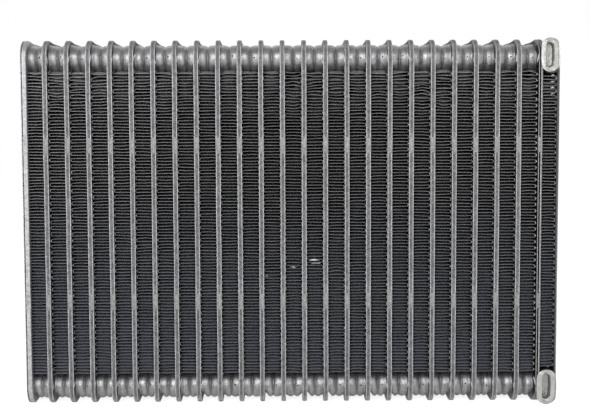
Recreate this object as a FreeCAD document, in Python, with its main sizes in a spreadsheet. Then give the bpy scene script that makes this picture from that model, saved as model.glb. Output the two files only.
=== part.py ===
"""Laminated evaporator core: drawn plate tubes, folded fins and two flattened header pipes.

+X runs along the stack, from the plain end to the header pipes. +Y runs through the core in the
direction of the air, away from the front. +Z is up. The origin is at the middle of the underside.
"""

import FreeCAD, Part
import math
import os
import Sketcher

# Driving dimensions in millimetres, degrees and counts
SIZES = [
    ("tube_count", 25, "flat tubes in the stack"),
    ("tube_pitch", 11.88, "from one tube to the next"),
    ("tube_thickness", 2.6, "across the two plates of a tube"),
    ("core_depth", 76, "front rim to rear rim of a tube"),
    ("core_height", 204, "lower rim to upper rim of a tube"),
    ("corner_radius", 10, "rounded corners of the plates"),
    ("rim_edge", 0.5, "edge of each turned-out rim"),
    ("groove_depth", 1.6, "drain groove between the two rims"),
    ("tab_length", 9.4, "clinch tabs that bridge the front groove"),
    ("tab_spread", 87, "between the middles of the two tabs"),
    ("cup_height", 15, "tank cups, from top to bottom"),
    ("cup_setback", 6, "from the front rim to a cup"),
    ("cup_margin", 2.5, "from the outer rim to a cup"),
    ("cup_draft", 4, "taper of the drawn cups"),
    ("left_plate_thickness", 1.7, "plate that closes the first tube"),
    ("right_plate_thickness", 1.1, "plate that carries the header pipes"),
    ("side_plate_thickness", 1.3, "plate outside the last fins"),
    ("side_plate_setback", 1.5, "from the rims to the side plate's edges"),
    ("side_plate_gap", 0.05, "between the side plate and each header pipe"),
    ("fin_folds", 13, "full folds of each fin ribbon"),
    ("fin_foil", 0.25, "foil of the fins"),
    ("fin_setback", 3, "from the rims to the fins"),
    ("fin_end_gap", 0.4, "between a fin pack and the cups or pipes"),
    ("outer_fin_end_gap", 2.2, "between the outer fin pack and the pipes"),
    ("braze_gap", 0.02, "between a fold and the plate that it is brazed to"),
    ("pipe_width", 9.6, "flattened header pipe along the stack"),
    ("pipe_height", 19.4, "flattened header pipe from top to bottom"),
    ("pipe_wall", 1.2, "wall of the header pipes"),
    ("pipe_lead", 1, "header pipes reach past the rims at the front and the rear"),
    ("port_diameter", 9.52, "outside of the round port"),
    ("port_length", 20, "straight round port"),
    ("cap_depth", 7, "cap, from its mouth to its back"),
    ("cap_wall", 1.2, "wall and floor of a cap"),
    ("cap_play", 0.15, "between a cap and its pipe"),
]

# Places worked out from the sizes
CORE_WIDTH = (
    "(sizes.left_plate_thickness + (sizes.tube_count - 1) * sizes.tube_pitch"
    " + sizes.right_plate_thickness + sizes.pipe_width)"
)
FIRST_TUBE = f"(sizes.left_plate_thickness - {CORE_WIDTH} / 2)"
LAST_TUBE = f"({FIRST_TUBE} + (sizes.tube_count - 1) * sizes.tube_pitch)"
MID_DEPTH = "(-sizes.port_length / 2)"
MID_HEIGHT = "(sizes.core_height / 2)"
FIN_GAP = "(sizes.tube_pitch - sizes.tube_thickness)"
OUTER_FIN_GAP = "(sizes.pipe_width - sizes.side_plate_thickness)"
PIPE_CENTRE = f"({LAST_TUBE} + sizes.right_plate_thickness + sizes.pipe_width / 2)"
PIPE_MOUTH = "(sizes.core_depth / 2 + sizes.pipe_lead)"

# Rounded corners of a plate and rounded ends of a cup are drawn in this many flats
CORNER_FLATS = 3
CUP_END_FLATS = 4


def make_sheet(doc):
    """The sheet holds one plain number for each driving dimension."""
    sheet = doc.addObject("Spreadsheet::Sheet", "sizes")
    for row, (name, number, meaning) in enumerate(SIZES, start=1):
        sheet.set(f"A{row}", name)
        sheet.set(f"B{row}", str(number))
        sheet.set(f"C{row}", meaning)
        sheet.setAlias(f"B{row}", name)
    doc.recompute()
    return sheet


def origin_part(body, role):
    """One of the body's own origin planes or axes."""
    return next(item for item in body.Origin.OriginFeatures if item.Role == role)


def place(item, along="0", through="0", up="0"):
    """Binds where a sub-part stands."""
    item.setExpression(".Placement.Base.x", along)
    item.setExpression(".Placement.Base.y", through)
    item.setExpression(".Placement.Base.z", up)


def new_sketch(body, plane, name, lift=None):
    """A sketch on one of the body's origin planes, lifted off it where a size says so."""
    sketch = body.newObject("Sketcher::SketchObject", name)
    sketch.AttachmentSupport = [(origin_part(body, plane), "")]
    sketch.MapMode = "FlatFace"
    if lift is not None:
        sketch.setExpression(".AttachmentOffset.Base.z", lift)
    return sketch


def pin_point(sketch, edge, end, across, up):
    """Ties one end of an edge to two distances from the sketch's origin."""
    for kind, distance in (("DistanceX", across), ("DistanceY", up)):
        number = sketch.evalExpression(distance)
        index = sketch.addConstraint(Sketcher.Constraint(kind, -1, 1, edge, end, number))
        sketch.setExpression(f"Constraints[{index}]", distance)


def draw_polygon(sketch, corners):
    """A closed outline whose corners are given as expressions."""
    points = [
        FreeCAD.Vector(sketch.evalExpression(across), sketch.evalExpression(up), 0)
        for across, up in corners
    ]
    edges = [
        sketch.addGeometry(Part.LineSegment(start, stop), False)
        for start, stop in zip(points, points[1:] + points[:1])
    ]
    for edge, following in zip(edges, edges[1:] + edges[:1]):
        sketch.addConstraint(Sketcher.Constraint("Coincident", edge, 2, following, 1))
    for edge, (across, up) in zip(edges, corners):
        pin_point(sketch, edge, 1, across, up)


def draw_rectangle(sketch, left, right, low, high):
    """A rectangle between four distances from the sketch's origin."""
    draw_polygon(sketch, [(left, low), (right, low), (right, high), (left, high)])


def draw_slot(sketch, half_width, half_height):
    """An upright slot with half-round ends: the section of a flattened pipe."""
    radius = sketch.evalExpression(half_width)
    run = sketch.evalExpression(half_height) - radius
    upward = FreeCAD.Vector(0, 0, 1)
    upper_circle = Part.Circle(FreeCAD.Vector(0, run, 0), upward, radius)
    lower_circle = Part.Circle(FreeCAD.Vector(0, -run, 0), upward, radius)
    upper = sketch.addGeometry(Part.ArcOfCircle(upper_circle, 0, math.pi), False)
    lower = sketch.addGeometry(Part.ArcOfCircle(lower_circle, math.pi, 2 * math.pi), False)
    left = sketch.addGeometry(
        Part.LineSegment(FreeCAD.Vector(-radius, run, 0), FreeCAD.Vector(-radius, -run, 0)), False
    )
    right = sketch.addGeometry(
        Part.LineSegment(FreeCAD.Vector(radius, -run, 0), FreeCAD.Vector(radius, run, 0)), False
    )
    for first, first_end, second, second_end in (
        (upper, 2, left, 1),
        (left, 2, lower, 1),
        (lower, 2, right, 1),
        (right, 2, upper, 1),
    ):
        sketch.addConstraint(
            Sketcher.Constraint("Tangent", first, first_end, second, second_end)
        )
    pin_point(sketch, upper, 3, "0", f"({half_height}) - ({half_width})")
    pin_point(sketch, lower, 3, "0", f"({half_width}) - ({half_height})")
    index = sketch.addConstraint(Sketcher.Constraint("Radius", upper, radius))
    sketch.setExpression(f"Constraints[{index}]", half_width)


def draw_circle(sketch, radius):
    """A circle about the sketch's origin."""
    number = sketch.evalExpression(radius)
    circle = Part.Circle(FreeCAD.Vector(0, 0, 0), FreeCAD.Vector(0, 0, 1), number)
    edge = sketch.addGeometry(circle, False)
    pin_point(sketch, edge, 3, "0", "0")
    index = sketch.addConstraint(Sketcher.Constraint("Radius", edge, number))
    sketch.setExpression(f"Constraints[{index}]", radius)


def add_feature(body, kind, name, profile, **sizes):
    """A PartDesign feature on a sketch, with its sizes bound to expressions."""
    feature = body.newObject(f"PartDesign::{kind}", name)
    feature.Profile = profile
    for size, expression in sizes.items():
        feature.setExpression(size, expression)
    return feature


def pad_about_plane(body, name, profile, left, right, **sizes):
    """A pad that reaches its own distance to each side of the sketch."""
    if left is None:
        pad = add_feature(body, "Pad", name, profile, Length=right, **sizes)
    elif right is None:
        pad = add_feature(body, "Pad", name, profile, Length=left, **sizes)
        pad.Reversed = True
    else:
        pad = add_feature(body, "Pad", name, profile, Length=right, Length2=left, **sizes)
        pad.SideType = "Two sides"
    return pad


def make_plates(doc, name, place_along, left, right, cup_left, cup_right):
    """Flat tube plates: rims with a drain groove, clinch tabs, and a cup at the top and bottom.

    left and right say how far the metal reaches to each side of the plane where the two plates
    meet, and cup_left and cup_right how far the cups reach. None is nothing on that side.
    """
    body = doc.addObject("PartDesign::Body", name)
    body.Label = name

    outline = new_sketch(body, "YZ_Plane", f"{name}_outline")
    draw_plate(outline)
    pad_about_plane(body, f"{name}_web", outline, left, right)

    if cup_left or cup_right:
        cups = new_sketch(body, "YZ_Plane", f"{name}_cup_outline")
        for level in (1, -1):
            draw_cup(cups, level)
        drawn = pad_about_plane(
            body, f"{name}_cups", cups, cup_left, cup_right, TaperAngle="-sizes.cup_draft"
        )
        if cup_left and cup_right:
            drawn.setExpression("TaperAngle2", "-sizes.cup_draft")

    mouth = "(sizes.tube_thickness / 2 - sizes.rim_edge)"
    groove = new_sketch(body, "XY_Plane", f"{name}_groove_section")
    draw_polygon(
        groove,
        [
            (f"-{mouth}", "-sizes.core_depth / 2"),
            (mouth, "-sizes.core_depth / 2"),
            ("0", "sizes.groove_depth - sizes.core_depth / 2"),
        ],
    )
    cut = add_feature(
        body,
        "Pocket",
        f"{name}_groove",
        groove,
        Length="sizes.core_height - 2 * sizes.corner_radius",
    )
    cut.SideType = "Symmetric"

    tabs = new_sketch(body, "XZ_Plane", f"{name}_tab_outline", lift="sizes.core_depth / 2")
    for level in (1, -1):
        middle = f"{level} * sizes.tab_spread / 2"
        draw_rectangle(
            tabs,
            f"-{mouth}" if left else "0",
            mouth if right else "0",
            f"{middle} - sizes.tab_length / 2",
            f"{middle} + sizes.tab_length / 2",
        )
    folded = add_feature(body, "Pad", f"{name}_tabs", tabs, Length="sizes.groove_depth")
    folded.Reversed = True
    place(body, place_along, MID_DEPTH, MID_HEIGHT)
    return body


def bend(across, up, radius, start, turn, flats):
    """Corners of a round bend about a centre, drawn in flats."""
    corners = []
    for count in range(flats + 1):
        angle = f"{start + turn * count / flats:g} deg"
        corners.append((f"{across} + {radius} * cos({angle})", f"{up} + {radius} * sin({angle})"))
    return corners


def draw_plate(sketch):
    """The outline of a plate, its four corners rounded in flats."""
    radius = "sizes.corner_radius"
    across = f"(sizes.core_depth / 2 - {radius})"
    up = f"(sizes.core_height / 2 - {radius})"
    corners = []
    for start, side, level in ((0, 1, 1), (90, -1, 1), (180, -1, -1), (270, 1, -1)):
        corners += bend(f"{side} * {across}", f"{level} * {up}", radius, start, 90, CORNER_FLATS)
    draw_polygon(sketch, corners)


def draw_cup(sketch, level):
    """A long cup whose two ends are rounded in flats, above the middle or below it."""
    radius = "(sizes.cup_height / 2)"
    up = f"{level} * (sizes.core_height / 2 - sizes.cup_margin - {radius})"
    across = f"(sizes.core_depth / 2 - sizes.cup_setback - {radius})"
    rear_end = bend(across, up, radius, -90, 180, CUP_END_FLATS)
    front_end = bend(f"-{across}", up, radius, 90, 180, CUP_END_FLATS)
    draw_polygon(sketch, rear_end + front_end)


def make_fins(doc, name, place_along, gap, height):
    """A foil ribbon folded to and fro between two plates."""
    body = doc.addObject("PartDesign::Body", name)
    body.Label = name
    half = f"({gap} / 2 - sizes.braze_gap)"
    rise = f"({height} / sizes.fin_folds / 2)"
    slant = f"(sizes.fin_foil * sqrt(4 * {half} ^ 2 + {rise} ^ 2) / {rise})"

    section = new_sketch(body, "XZ_Plane", f"{name}_fold_section")
    draw_polygon(
        section,
        [
            (f"-{half}", "0"),
            (f"{slant} - {half}", "0"),
            (half, rise),
            (f"{slant} - {half}", f"2 * {rise}"),
            (f"-{half}", f"2 * {rise}"),
            (f"{half} - {slant}", rise),
        ],
    )
    fold = add_feature(
        body, "Pad", f"{name}_fold", section, Length="sizes.core_depth - 2 * sizes.fin_setback"
    )
    fold.SideType = "Symmetric"

    ribbon = body.newObject("PartDesign::LinearPattern", f"{name}_ribbon")
    ribbon.Originals = [fold]
    ribbon.Direction = (origin_part(body, "Z_Axis"), [""])
    ribbon.setExpression("Length", f"2 * {rise} * (sizes.fin_folds - 1)")
    ribbon.setExpression("Occurrences", "sizes.fin_folds")
    body.Tip = ribbon
    place(body, place_along, MID_DEPTH, f"{MID_HEIGHT} - {height} / 2")
    return body


def make_side_plate(doc):
    """The plate outside the last fins, between the two header pipes."""
    body = doc.addObject("PartDesign::Body", "side_plate")
    body.Label = "side_plate"
    radius = "(sizes.pipe_width / 2)"
    tuck = f"({radius} - sqrt({radius} ^ 2 - ({radius} - sizes.side_plate_thickness) ^ 2))"
    half_height = f"({MID_HEIGHT} - sizes.pipe_height + {tuck} - sizes.side_plate_gap)"
    half_depth = "(sizes.core_depth / 2 - sizes.side_plate_setback)"
    outline = new_sketch(body, "YZ_Plane", "side_plate_outline")
    draw_rectangle(
        outline, f"-{half_depth}", half_depth, f"-{half_height}", half_height
    )
    add_feature(body, "Pad", "side_plate_sheet", outline, Length="sizes.side_plate_thickness")
    place(
        body,
        f"{CORE_WIDTH} / 2 - sizes.side_plate_thickness",
        MID_DEPTH,
        MID_HEIGHT,
    )
    return body


def make_pipe(doc, name, height):
    """A header pipe: flat along the core, closed at the rear round a straight round port."""
    body = doc.addObject("PartDesign::Body", name)
    body.Label = name
    inner = "sizes.pipe_wall"
    run = f"2 * {PIPE_MOUTH}"

    outside = new_sketch(body, "XZ_Plane", f"{name}_outside", lift=PIPE_MOUTH)
    draw_slot(outside, "sizes.pipe_width / 2", "sizes.pipe_height / 2")
    flat = add_feature(body, "Pad", f"{name}_flat", outside, Length=run)
    flat.Reversed = True

    ring = new_sketch(body, "XZ_Plane", f"{name}_port_ring", lift=f"-{PIPE_MOUTH}")
    draw_circle(ring, "sizes.port_diameter / 2")
    port = add_feature(body, "Pad", f"{name}_port", ring, Length="sizes.port_length")
    port.Reversed = True

    hollow = new_sketch(body, "XZ_Plane", f"{name}_inside", lift=PIPE_MOUTH)
    draw_slot(hollow, f"sizes.pipe_width / 2 - {inner}", f"sizes.pipe_height / 2 - {inner}")
    add_feature(body, "Pocket", f"{name}_hollow", hollow, Length=f"{run} - {inner}")

    passage = new_sketch(body, "XZ_Plane", f"{name}_passage", lift=f"{inner} - {PIPE_MOUTH}")
    draw_circle(passage, f"sizes.port_diameter / 2 - {inner}")
    add_feature(
        body, "Pocket", f"{name}_bore", passage, Length=f"sizes.port_length + {inner}"
    )

    place(body, PIPE_CENTRE, MID_DEPTH, height)
    return body


def make_cap(doc, name, height):
    """A dished cap pressed into the front end of a header pipe, open towards the front."""
    body = doc.addObject("PartDesign::Body", name)
    body.Label = name
    fit = "(sizes.pipe_wall + sizes.cap_play)"
    rim = new_sketch(body, "XZ_Plane", f"{name}_rim", lift=PIPE_MOUTH)
    draw_slot(rim, f"(sizes.pipe_width / 2 - {fit})", f"(sizes.pipe_height / 2 - {fit})")
    plug = add_feature(body, "Pad", f"{name}_plug", rim, Length="sizes.cap_depth")
    plug.Reversed = True
    wall = f"({fit} + sizes.cap_wall)"
    hollow = new_sketch(body, "XZ_Plane", f"{name}_hollow", lift=PIPE_MOUTH)
    draw_slot(hollow, f"(sizes.pipe_width / 2 - {wall})", f"(sizes.pipe_height / 2 - {wall})")
    add_feature(
        body, "Pocket", f"{name}_dish", hollow, Length="sizes.cap_depth - sizes.cap_wall"
    )
    place(body, PIPE_CENTRE, MID_DEPTH, height)
    return body


def build(doc):
    """Every sub-part of the core, in the order of the stack."""
    sheet = make_sheet(doc)
    tube_count = int(sheet.get("tube_count"))
    half_tube = "sizes.tube_thickness / 2"
    half_pitch = "sizes.tube_pitch / 2"
    tank_space = "2 * (sizes.cup_margin + sizes.cup_height + sizes.fin_end_gap)"
    fin_height = f"(sizes.core_height - {tank_space})"
    outer_fin_height = (
        "(sizes.core_height - 2 * (sizes.pipe_height + sizes.outer_fin_end_gap))"
    )

    parts = [
        make_plates(
            doc, "left_end_plate", FIRST_TUBE, "sizes.left_plate_thickness", None, None, None
        )
    ]
    for number in range(1, tube_count + 1):
        along = f"{FIRST_TUBE} + {number - 1} * sizes.tube_pitch"
        left = number > 1
        right = number < tube_count
        parts.append(
            make_plates(
                doc,
                f"tube_plates_{number:02d}",
                along,
                half_tube if left else None,
                half_tube if right else None,
                half_pitch if left else None,
                half_pitch if right else None,
            )
        )
        if right:
            middle = f"{along} + sizes.tube_pitch / 2"
            parts.append(make_fins(doc, f"fin_pack_{number:02d}", middle, FIN_GAP, fin_height))
    parts.append(
        make_plates(
            doc, "right_end_plate", LAST_TUBE, None, "sizes.right_plate_thickness", None, None
        )
    )
    parts.append(
        make_fins(
            doc,
            f"fin_pack_{tube_count:02d}",
            f"{LAST_TUBE} + sizes.right_plate_thickness + {OUTER_FIN_GAP} / 2",
            OUTER_FIN_GAP,
            outer_fin_height,
        )
    )
    parts.append(make_side_plate(doc))
    upper = "sizes.core_height - sizes.pipe_height / 2"
    lower = "sizes.pipe_height / 2"
    for level, height in (("upper", upper), ("lower", lower)):
        parts.append(make_pipe(doc, f"{level}_header_pipe", height))
        parts.append(make_cap(doc, f"{level}_header_cap", height))
    doc.recompute()
    return parts


def check(doc, parts):
    """Stops before anything is written if a feature failed or a shape is unsound."""
    for item in doc.Objects:
        if "Invalid" in item.State or "Error" in item.State:
            raise RuntimeError(f"{item.Name} is {item.State}")
    for part in parts:
        if part.Shape.isNull() or not part.Shape.isValid():
            raise RuntimeError(f"{part.Label} has no sound shape")
        if len(part.Shape.Solids) != 1:
            raise RuntimeError(f"{part.Label} has {len(part.Shape.Solids)} solids")


def main():
    doc = FreeCAD.newDocument("evaporator_core")
    parts = build(doc)
    check(doc, parts)
    os.makedirs("parts", exist_ok=True)
    for part in parts:
        part.Shape.exportStep(os.path.join("parts", part.Label + ".step"))
    print(len(parts), "sub-parts written")


main()
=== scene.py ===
import math
from functools import partial

import bmesh
import bpy
from bpy.props import FloatProperty, FloatVectorProperty, IntProperty, PointerProperty
from mathutils import Matrix, Vector


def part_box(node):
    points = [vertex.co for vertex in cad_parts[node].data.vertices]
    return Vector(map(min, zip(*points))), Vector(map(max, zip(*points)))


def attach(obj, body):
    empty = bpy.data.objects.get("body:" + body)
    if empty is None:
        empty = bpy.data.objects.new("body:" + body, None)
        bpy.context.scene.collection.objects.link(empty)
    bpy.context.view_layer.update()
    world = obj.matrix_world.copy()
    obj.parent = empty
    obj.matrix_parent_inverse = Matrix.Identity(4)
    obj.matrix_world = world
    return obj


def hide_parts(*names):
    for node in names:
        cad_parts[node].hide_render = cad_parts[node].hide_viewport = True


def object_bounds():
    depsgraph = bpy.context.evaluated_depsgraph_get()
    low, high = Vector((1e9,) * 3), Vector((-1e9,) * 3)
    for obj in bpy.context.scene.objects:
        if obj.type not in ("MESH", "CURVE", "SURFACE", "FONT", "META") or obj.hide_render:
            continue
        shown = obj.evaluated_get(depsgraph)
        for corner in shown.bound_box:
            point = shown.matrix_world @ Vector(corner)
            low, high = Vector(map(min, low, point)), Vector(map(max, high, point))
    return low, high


bl_info = {
    "name": "Evaporator Core",
    "version": (1, 0, 0),
    "blender": (4, 5, 0),
    "location": "View3D > Sidebar > Evaporator",
    "description": "Dresses a laminated evaporator core: plate tubes, tank cups, fins and header pipes",
    "category": "Object",
}

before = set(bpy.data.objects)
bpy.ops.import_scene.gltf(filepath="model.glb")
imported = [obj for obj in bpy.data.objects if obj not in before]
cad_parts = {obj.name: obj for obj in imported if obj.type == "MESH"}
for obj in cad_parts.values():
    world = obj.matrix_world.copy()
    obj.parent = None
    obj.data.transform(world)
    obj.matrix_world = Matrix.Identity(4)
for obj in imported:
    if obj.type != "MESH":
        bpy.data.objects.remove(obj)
CAD_LOW, CAD_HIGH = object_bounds()

# Places read from the frame
FIRST_GAP_LOW, FIRST_GAP_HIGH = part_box("fin_pack_02")
LEFT_PLATE_LOW, LEFT_PLATE_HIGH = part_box("left_end_plate")
RIGHT_PLATE_LOW, RIGHT_PLATE_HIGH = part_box("right_end_plate")
OUTER_FIN_LOW, OUTER_FIN_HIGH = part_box("fin_pack_25")
SIDE_PLATE_LOW, SIDE_PLATE_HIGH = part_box("side_plate")
TUBE_COUNT = sum(node.startswith("tube_plates_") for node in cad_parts)
FIRST_TUBE = LEFT_PLATE_HIGH.x
LAST_TUBE = RIGHT_PLATE_LOW.x
PITCH = (LAST_TUBE - FIRST_TUBE) / (TUBE_COUNT - 1)
FRONT, REAR = LEFT_PLATE_LOW.y, LEFT_PLATE_HIGH.y
MID_DEPTH = (FRONT + REAR) / 2
HALF_DEPTH = (REAR - FRONT) / 2
TOP = LEFT_PLATE_HIGH.z
MID_HEIGHT = TOP / 2
# From the rims to the fins' cut edges
FIN_SETBACK = 0.003

Length = partial(FloatProperty, unit="LENGTH")
Colour = partial(FloatVectorProperty, subtype="COLOR")


class PlateSettings(bpy.types.PropertyGroup):
    """Sizes of the stamped plates."""

    corner: Length(name="Corner", description="Radius of the plate corners", default=0.010)
    tab_length: Length(name="Tab length", description="Length of a clinch tab", default=0.0094)
    tab_spread: Length(name="Tab spread", description="Between the two tabs", default=0.087)
    ripple: Length(name="Ripple", description="How far a strip wanders sideways", default=0.0006)


class CupSettings(bpy.types.PropertyGroup):
    """Sizes of the drawn tank cups."""

    radius: Length(name="Radius", description="Round end of a cup", default=0.0075)
    margin: Length(name="Margin", description="From the rim to the cup", default=0.0025)
    setback: Length(name="Setback", description="From the front rim to the cup", default=0.006)
    drop: Length(name="Drop", description="How much lower the bottom cups sit", default=0.0009)
    crown: Length(name="Crown", description="How far a cup falls off to its seam", default=0.00105)
    notch: Length(name="Notch", description="Highest notch beside a tube's foot", default=0.0042)
    seed: IntProperty(name="Seed", description="Seed of the notches", default=1)


class FinSettings(bpy.types.PropertyGroup):
    """Sizes of the folded fins."""

    folds: IntProperty(name="Folds", description="Folds in the height of a pack", default=49)
    outer_folds: IntProperty(name="Outer folds", description="Folds outside the last tube", default=48)
    foil: Length(name="Foil", description="Thickness of the foil", default=0.00026)
    setback: Length(name="Setback", description="From the rims to the fins", default=FIN_SETBACK)
    louvre: Length(name="Louvre", description="Rise of the louvres", default=0.0013)
    tilt: FloatProperty(name="Tilt", description="Random tilt of a fold", default=0.02, unit="ROTATION")
    waviness: Length(name="Waviness", description="Random wave of the fins", default=0.0005)
    arch: Length(name="Arch", description="Rise of the one patch of arched fins", default=0.0009)
    seed: IntProperty(name="Seed", description="Seed of the unevenness", default=11)


class PipeSettings(bpy.types.PropertyGroup):
    """Sizes of the flattened header pipes and their caps."""

    wall: Length(name="Wall", description="Wall of a pipe", default=0.0012)
    port: Length(name="Port", description="Radius of a port", default=0.00476)
    cap_wall: Length(name="Cap wall", description="Wall of a cap", default=0.0007)
    dish: Length(name="Dish", description="Depth of the dished cap", default=0.005)


class FinishSettings(bpy.types.PropertyGroup):
    """Colours of the metal and of the floor."""

    plate: Colour(name="Plates", description="Drawn aluminium", default=(0.60, 0.60, 0.61))
    fin: Colour(name="Fins", description="Cut edges of the fins", default=(0.20, 0.205, 0.21))
    depth: Colour(name="Depth", description="Inside of the packs", default=(0.42, 0.42, 0.44))
    pipe: Colour(name="Pipes", description="Cut aluminium tube", default=(0.65, 0.65, 0.63))
    floor: Colour(name="Floor", description="Pale floor", default=(0.86, 0.86, 0.86))


def feed(tree, node, inputs):
    """Links the sockets among a node's inputs and sets the plain values."""
    for name, value in inputs.items():
        if isinstance(value, bpy.types.NodeSocket):
            tree.links.new(value, node.inputs[name])
        else:
            node.inputs[name].default_value = value


def add_node(tree, kind, inputs=None, **settings):
    """A node with its settings and its inputs."""
    node = tree.nodes.new(kind)
    for name, value in settings.items():
        setattr(node, name, value)
    feed(tree, node, inputs or {})
    return node


def maths(tree, operation, *numbers):
    """The result of a Math node on sockets or plain numbers."""
    return add_node(tree, "ShaderNodeMath", dict(enumerate(numbers)), operation=operation).outputs[0]


def carry(tree, value, low, high, low_result=0.0, high_result=1.0, **settings):
    """A value carried from one range into another."""
    limits = {"From Min": low, "From Max": high, "To Min": low_result, "To Max": high_result}
    return add_node(tree, "ShaderNodeMapRange", {"Value": value, **limits}, **settings).outputs["Result"]


def new_material(name):
    """A material with one Principled shader, and its tree, shader and Object coordinates."""
    material = bpy.data.materials.new(name)
    material.use_nodes = True
    tree = material.node_tree
    shader = tree.nodes["Principled BSDF"]
    coordinates = add_node(tree, "ShaderNodeTexCoord")
    return material, tree, shader, coordinates.outputs["Object"]


def colour_ramp(tree, share, stops):
    """A colour that runs through stops given as (share, number or colour)."""
    ramp = add_node(tree, "ShaderNodeValToRGB", {"Fac": share})
    while len(ramp.color_ramp.elements) < len(stops):
        ramp.color_ramp.elements.new(0.5)
    for element, (position, value) in zip(ramp.color_ramp.elements, stops):
        element.position = position
        element.color = (*value, 1) if isinstance(value, tuple) else (value, value, value, 1)
    return ramp.outputs["Color"]


def noise_ramp(tree, place, scale, low, high, detail=4.0, stretch=None):
    """Noise whose values run from one number or colour to another."""
    if stretch:
        mapping = add_node(tree, "ShaderNodeMapping", {"Vector": place, "Scale": stretch})
        place = mapping.outputs["Vector"]
    noise = add_node(tree, "ShaderNodeTexNoise", {"Vector": place, "Scale": scale, "Detail": detail})
    return colour_ramp(tree, noise.outputs["Fac"], ((0.32, low), (0.68, high)))


def shade(colour, factor):
    """A colour made lighter or darker."""
    return tuple(min(1.0, channel * factor) for channel in colour)


def mix_colour(tree, factor, first, second, blend="MIX"):
    """One colour laid over another."""
    lower, upper = ((*each, 1) if isinstance(each, tuple) else each for each in (first, second))
    inputs = {"Factor": factor, 6: lower, 7: upper}
    return add_node(tree, "ShaderNodeMix", inputs, data_type="RGBA", blend_type=blend).outputs[2]


def multiply(tree, first, second):
    """Two colours multiplied."""
    return mix_colour(tree, 1.0, first, second, "MULTIPLY")


def along(tree, place, axis, low, high, low_result=0.0, high_result=1.0):
    """A value that runs along one axis of the object."""
    split = add_node(tree, "ShaderNodeSeparateXYZ", {"Vector": place})
    return carry(tree, split.outputs[axis], low, high, low_result, high_result)


def attribute(tree, name):
    """The value of one of the piece's own attributes."""
    return add_node(tree, "ShaderNodeAttribute", attribute_name=name).outputs["Fac"]


def with_painted_shade(tree, plain, colour):
    """The plain colour, darkened by painted shade where the piece's own attribute says so."""
    return mix_colour(tree, attribute(tree, "painted_shade"), plain, shade(colour, 0.05))


def finish_metal(tree, shader, place, metallic, colour, roughness, bump_scale, bump, stretch=None):
    """Feeds a metal's shader, with a fine bump."""
    height = noise_ramp(tree, place, bump_scale, 0.0, 1.0, 6.0, stretch)
    bumped = add_node(tree, "ShaderNodeBump", {"Height": height, "Strength": bump, "Distance": 0.0002})
    normal = bumped.outputs["Normal"]
    looks = {"Metallic": metallic, "Base Color": colour, "Roughness": roughness, "Normal": normal}
    feed(tree, shader, looks)


def plate_metal(colour):
    """Drawn aluminium: satin, streaked by the press, speckled by the braze, cleaner on the lips."""
    material, tree, shader, place = new_material("drawn_aluminium")
    mottle = noise_ramp(tree, place, 260, shade(colour, 0.8), shade(colour, 1.1))
    stain = noise_ramp(tree, place, 38, 0.0, 1.0, 2.0)
    stained = mix_colour(tree, stain, mottle, shade(colour, 0.88))
    streaks = noise_ramp(tree, place, 1.0, 0.72, 1.0, 2.0, (1500, 60, 60))
    streaked = mix_colour(tree, 0.8, stained, streaks, "MULTIPLY")
    spots = add_node(tree, "ShaderNodeTexVoronoi", {"Vector": place, "Scale": 230.0, "Randomness": 1.0})
    fleck = carry(tree, spots.outputs["Distance"], 0.05, 0.12, 0.75, 0.0)
    flecked = mix_colour(tree, fleck, streaked, shade(colour, 0.35))
    rim = attribute(tree, "rim")
    edge = noise_ramp(tree, place, 520, shade(colour, 0.86), shade(colour, 1.28), 3.0)
    plain = mix_colour(tree, rim, flecked, edge)
    satin = mix_colour(tree, rim, noise_ramp(tree, place, 170, 0.34, 0.54), (0.6, 0.6, 0.6))
    # Painted shade from the piece's own attribute darkens the colour
    finish_metal(tree, shader, place, 0.9, with_painted_shade(tree, plain, colour), satin, 900, 0.22)
    return material


def tinted(tree, height, grey):
    """A grey that is darker and slightly blue low down, and slightly brown high up."""
    low, high = (
        tuple(channel * share for channel, share in zip(grey, shares))
        for shares in ((0.72, 0.76, 0.84), (1.04, 1.0, 0.93))
    )
    return mix_colour(tree, height, low, high)


# Light between the fins up the core, and on their cut edges across it
DEPTH_LIGHT = ((0.018, 0.72), (0.07, 0.52), (0.11, 0.28), (0.16, 0.32), (0.174, 0.76), (0.187, 0.96))
EDGE_LIGHT = ((0.0, 0.68), (0.32, 0.46), (0.5, 0.4), (0.75, 0.5), (1.0, 0.56))


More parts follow.
